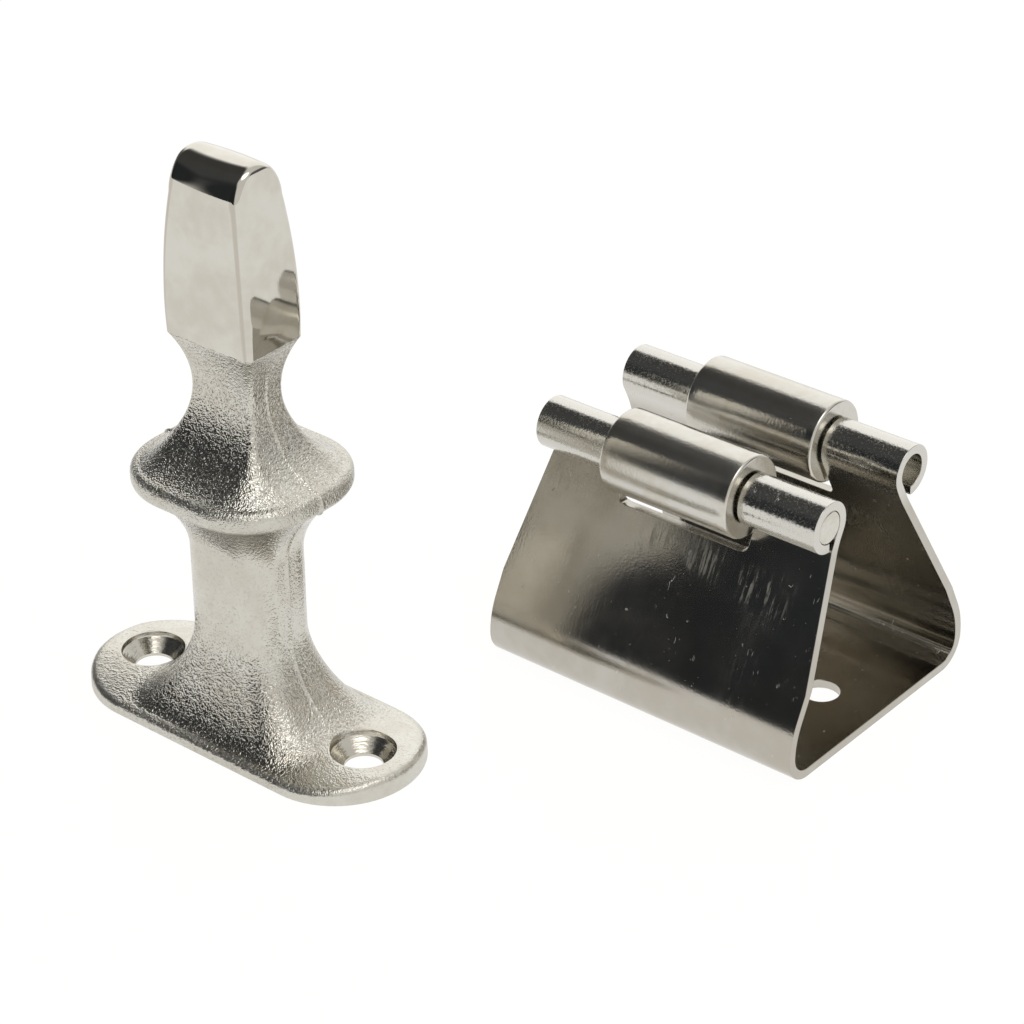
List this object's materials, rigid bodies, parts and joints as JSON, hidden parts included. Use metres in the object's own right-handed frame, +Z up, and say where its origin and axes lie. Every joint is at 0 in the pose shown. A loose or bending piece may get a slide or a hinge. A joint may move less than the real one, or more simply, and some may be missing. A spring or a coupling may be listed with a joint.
{
  "type": "roller door holder",
  "caption": "Cast strike post on an oblong plate, and a sprung sheet clip whose two rollers snap round the post's neck to hold a door or gate.",
  "frame": {"origin": "middle of the spring clip's underside, midway between its two screw holes", "axes": "+X along the rollers and the row of screw holes, +Y across the mouth between the rollers, +Z up from the fixing face, the way the strike goes in and out"},
  "size_m": [0.0918, 0.0826, 0.0819],
  "materials": {
    "cast_steel": "tumbled cast stainless steel with a fine grain, mirror polished on the head",
    "spring_sheet": "polished rolled stainless sheet with fine scratches and bright cut edges",
    "pin_steel": "drawn stainless bar, cut ends",
    "roller_steel": "turned and polished stainless steel"
  },
  "bodies": {
    "clip_base": {"clip_base": "spring_sheet"},
    "front_arm": {"front_spring_arm": "spring_sheet", "front_pin": "pin_steel"},
    "rear_arm": {"rear_spring_arm": "spring_sheet", "rear_pin": "pin_steel"},
    "front_roller": {"front_roller": "roller_steel"},
    "rear_roller": {"rear_roller": "roller_steel"},
    "strike": {"strike": "cast_steel"}
  },
  "joints": [
    {"name": "front_arm_flex", "type": "hinge", "parent": "clip_base", "child": "front_arm", "pos_m": [0, -0.02, 0.0042], "axis": [1, 0, 0], "range_deg": [0, 6], "stiffness_Nm_per_rad": 8},
    {"name": "rear_arm_flex", "type": "hinge", "parent": "clip_base", "child": "rear_arm", "pos_m": [0, 0.02, 0.0042], "axis": [-1, 0, 0], "range_deg": [0, 6], "stiffness_Nm_per_rad": 8},
    {"name": "front_roller_spin", "type": "hinge", "parent": "front_arm", "child": "front_roller", "pos_m": [0, -0.0093, 0.0334], "axis": [1, 0, 0], "continuous": true},
    {"name": "rear_roller_spin", "type": "hinge", "parent": "rear_arm", "child": "rear_roller", "pos_m": [0, 0.0093, 0.0334], "axis": [1, 0, 0], "continuous": true},
    {"name": "strike_lift", "type": "slide", "parent": "clip_base", "child": "strike", "axis": [0, 0, 1], "range_m": [0, 0.09]}
  ]
}
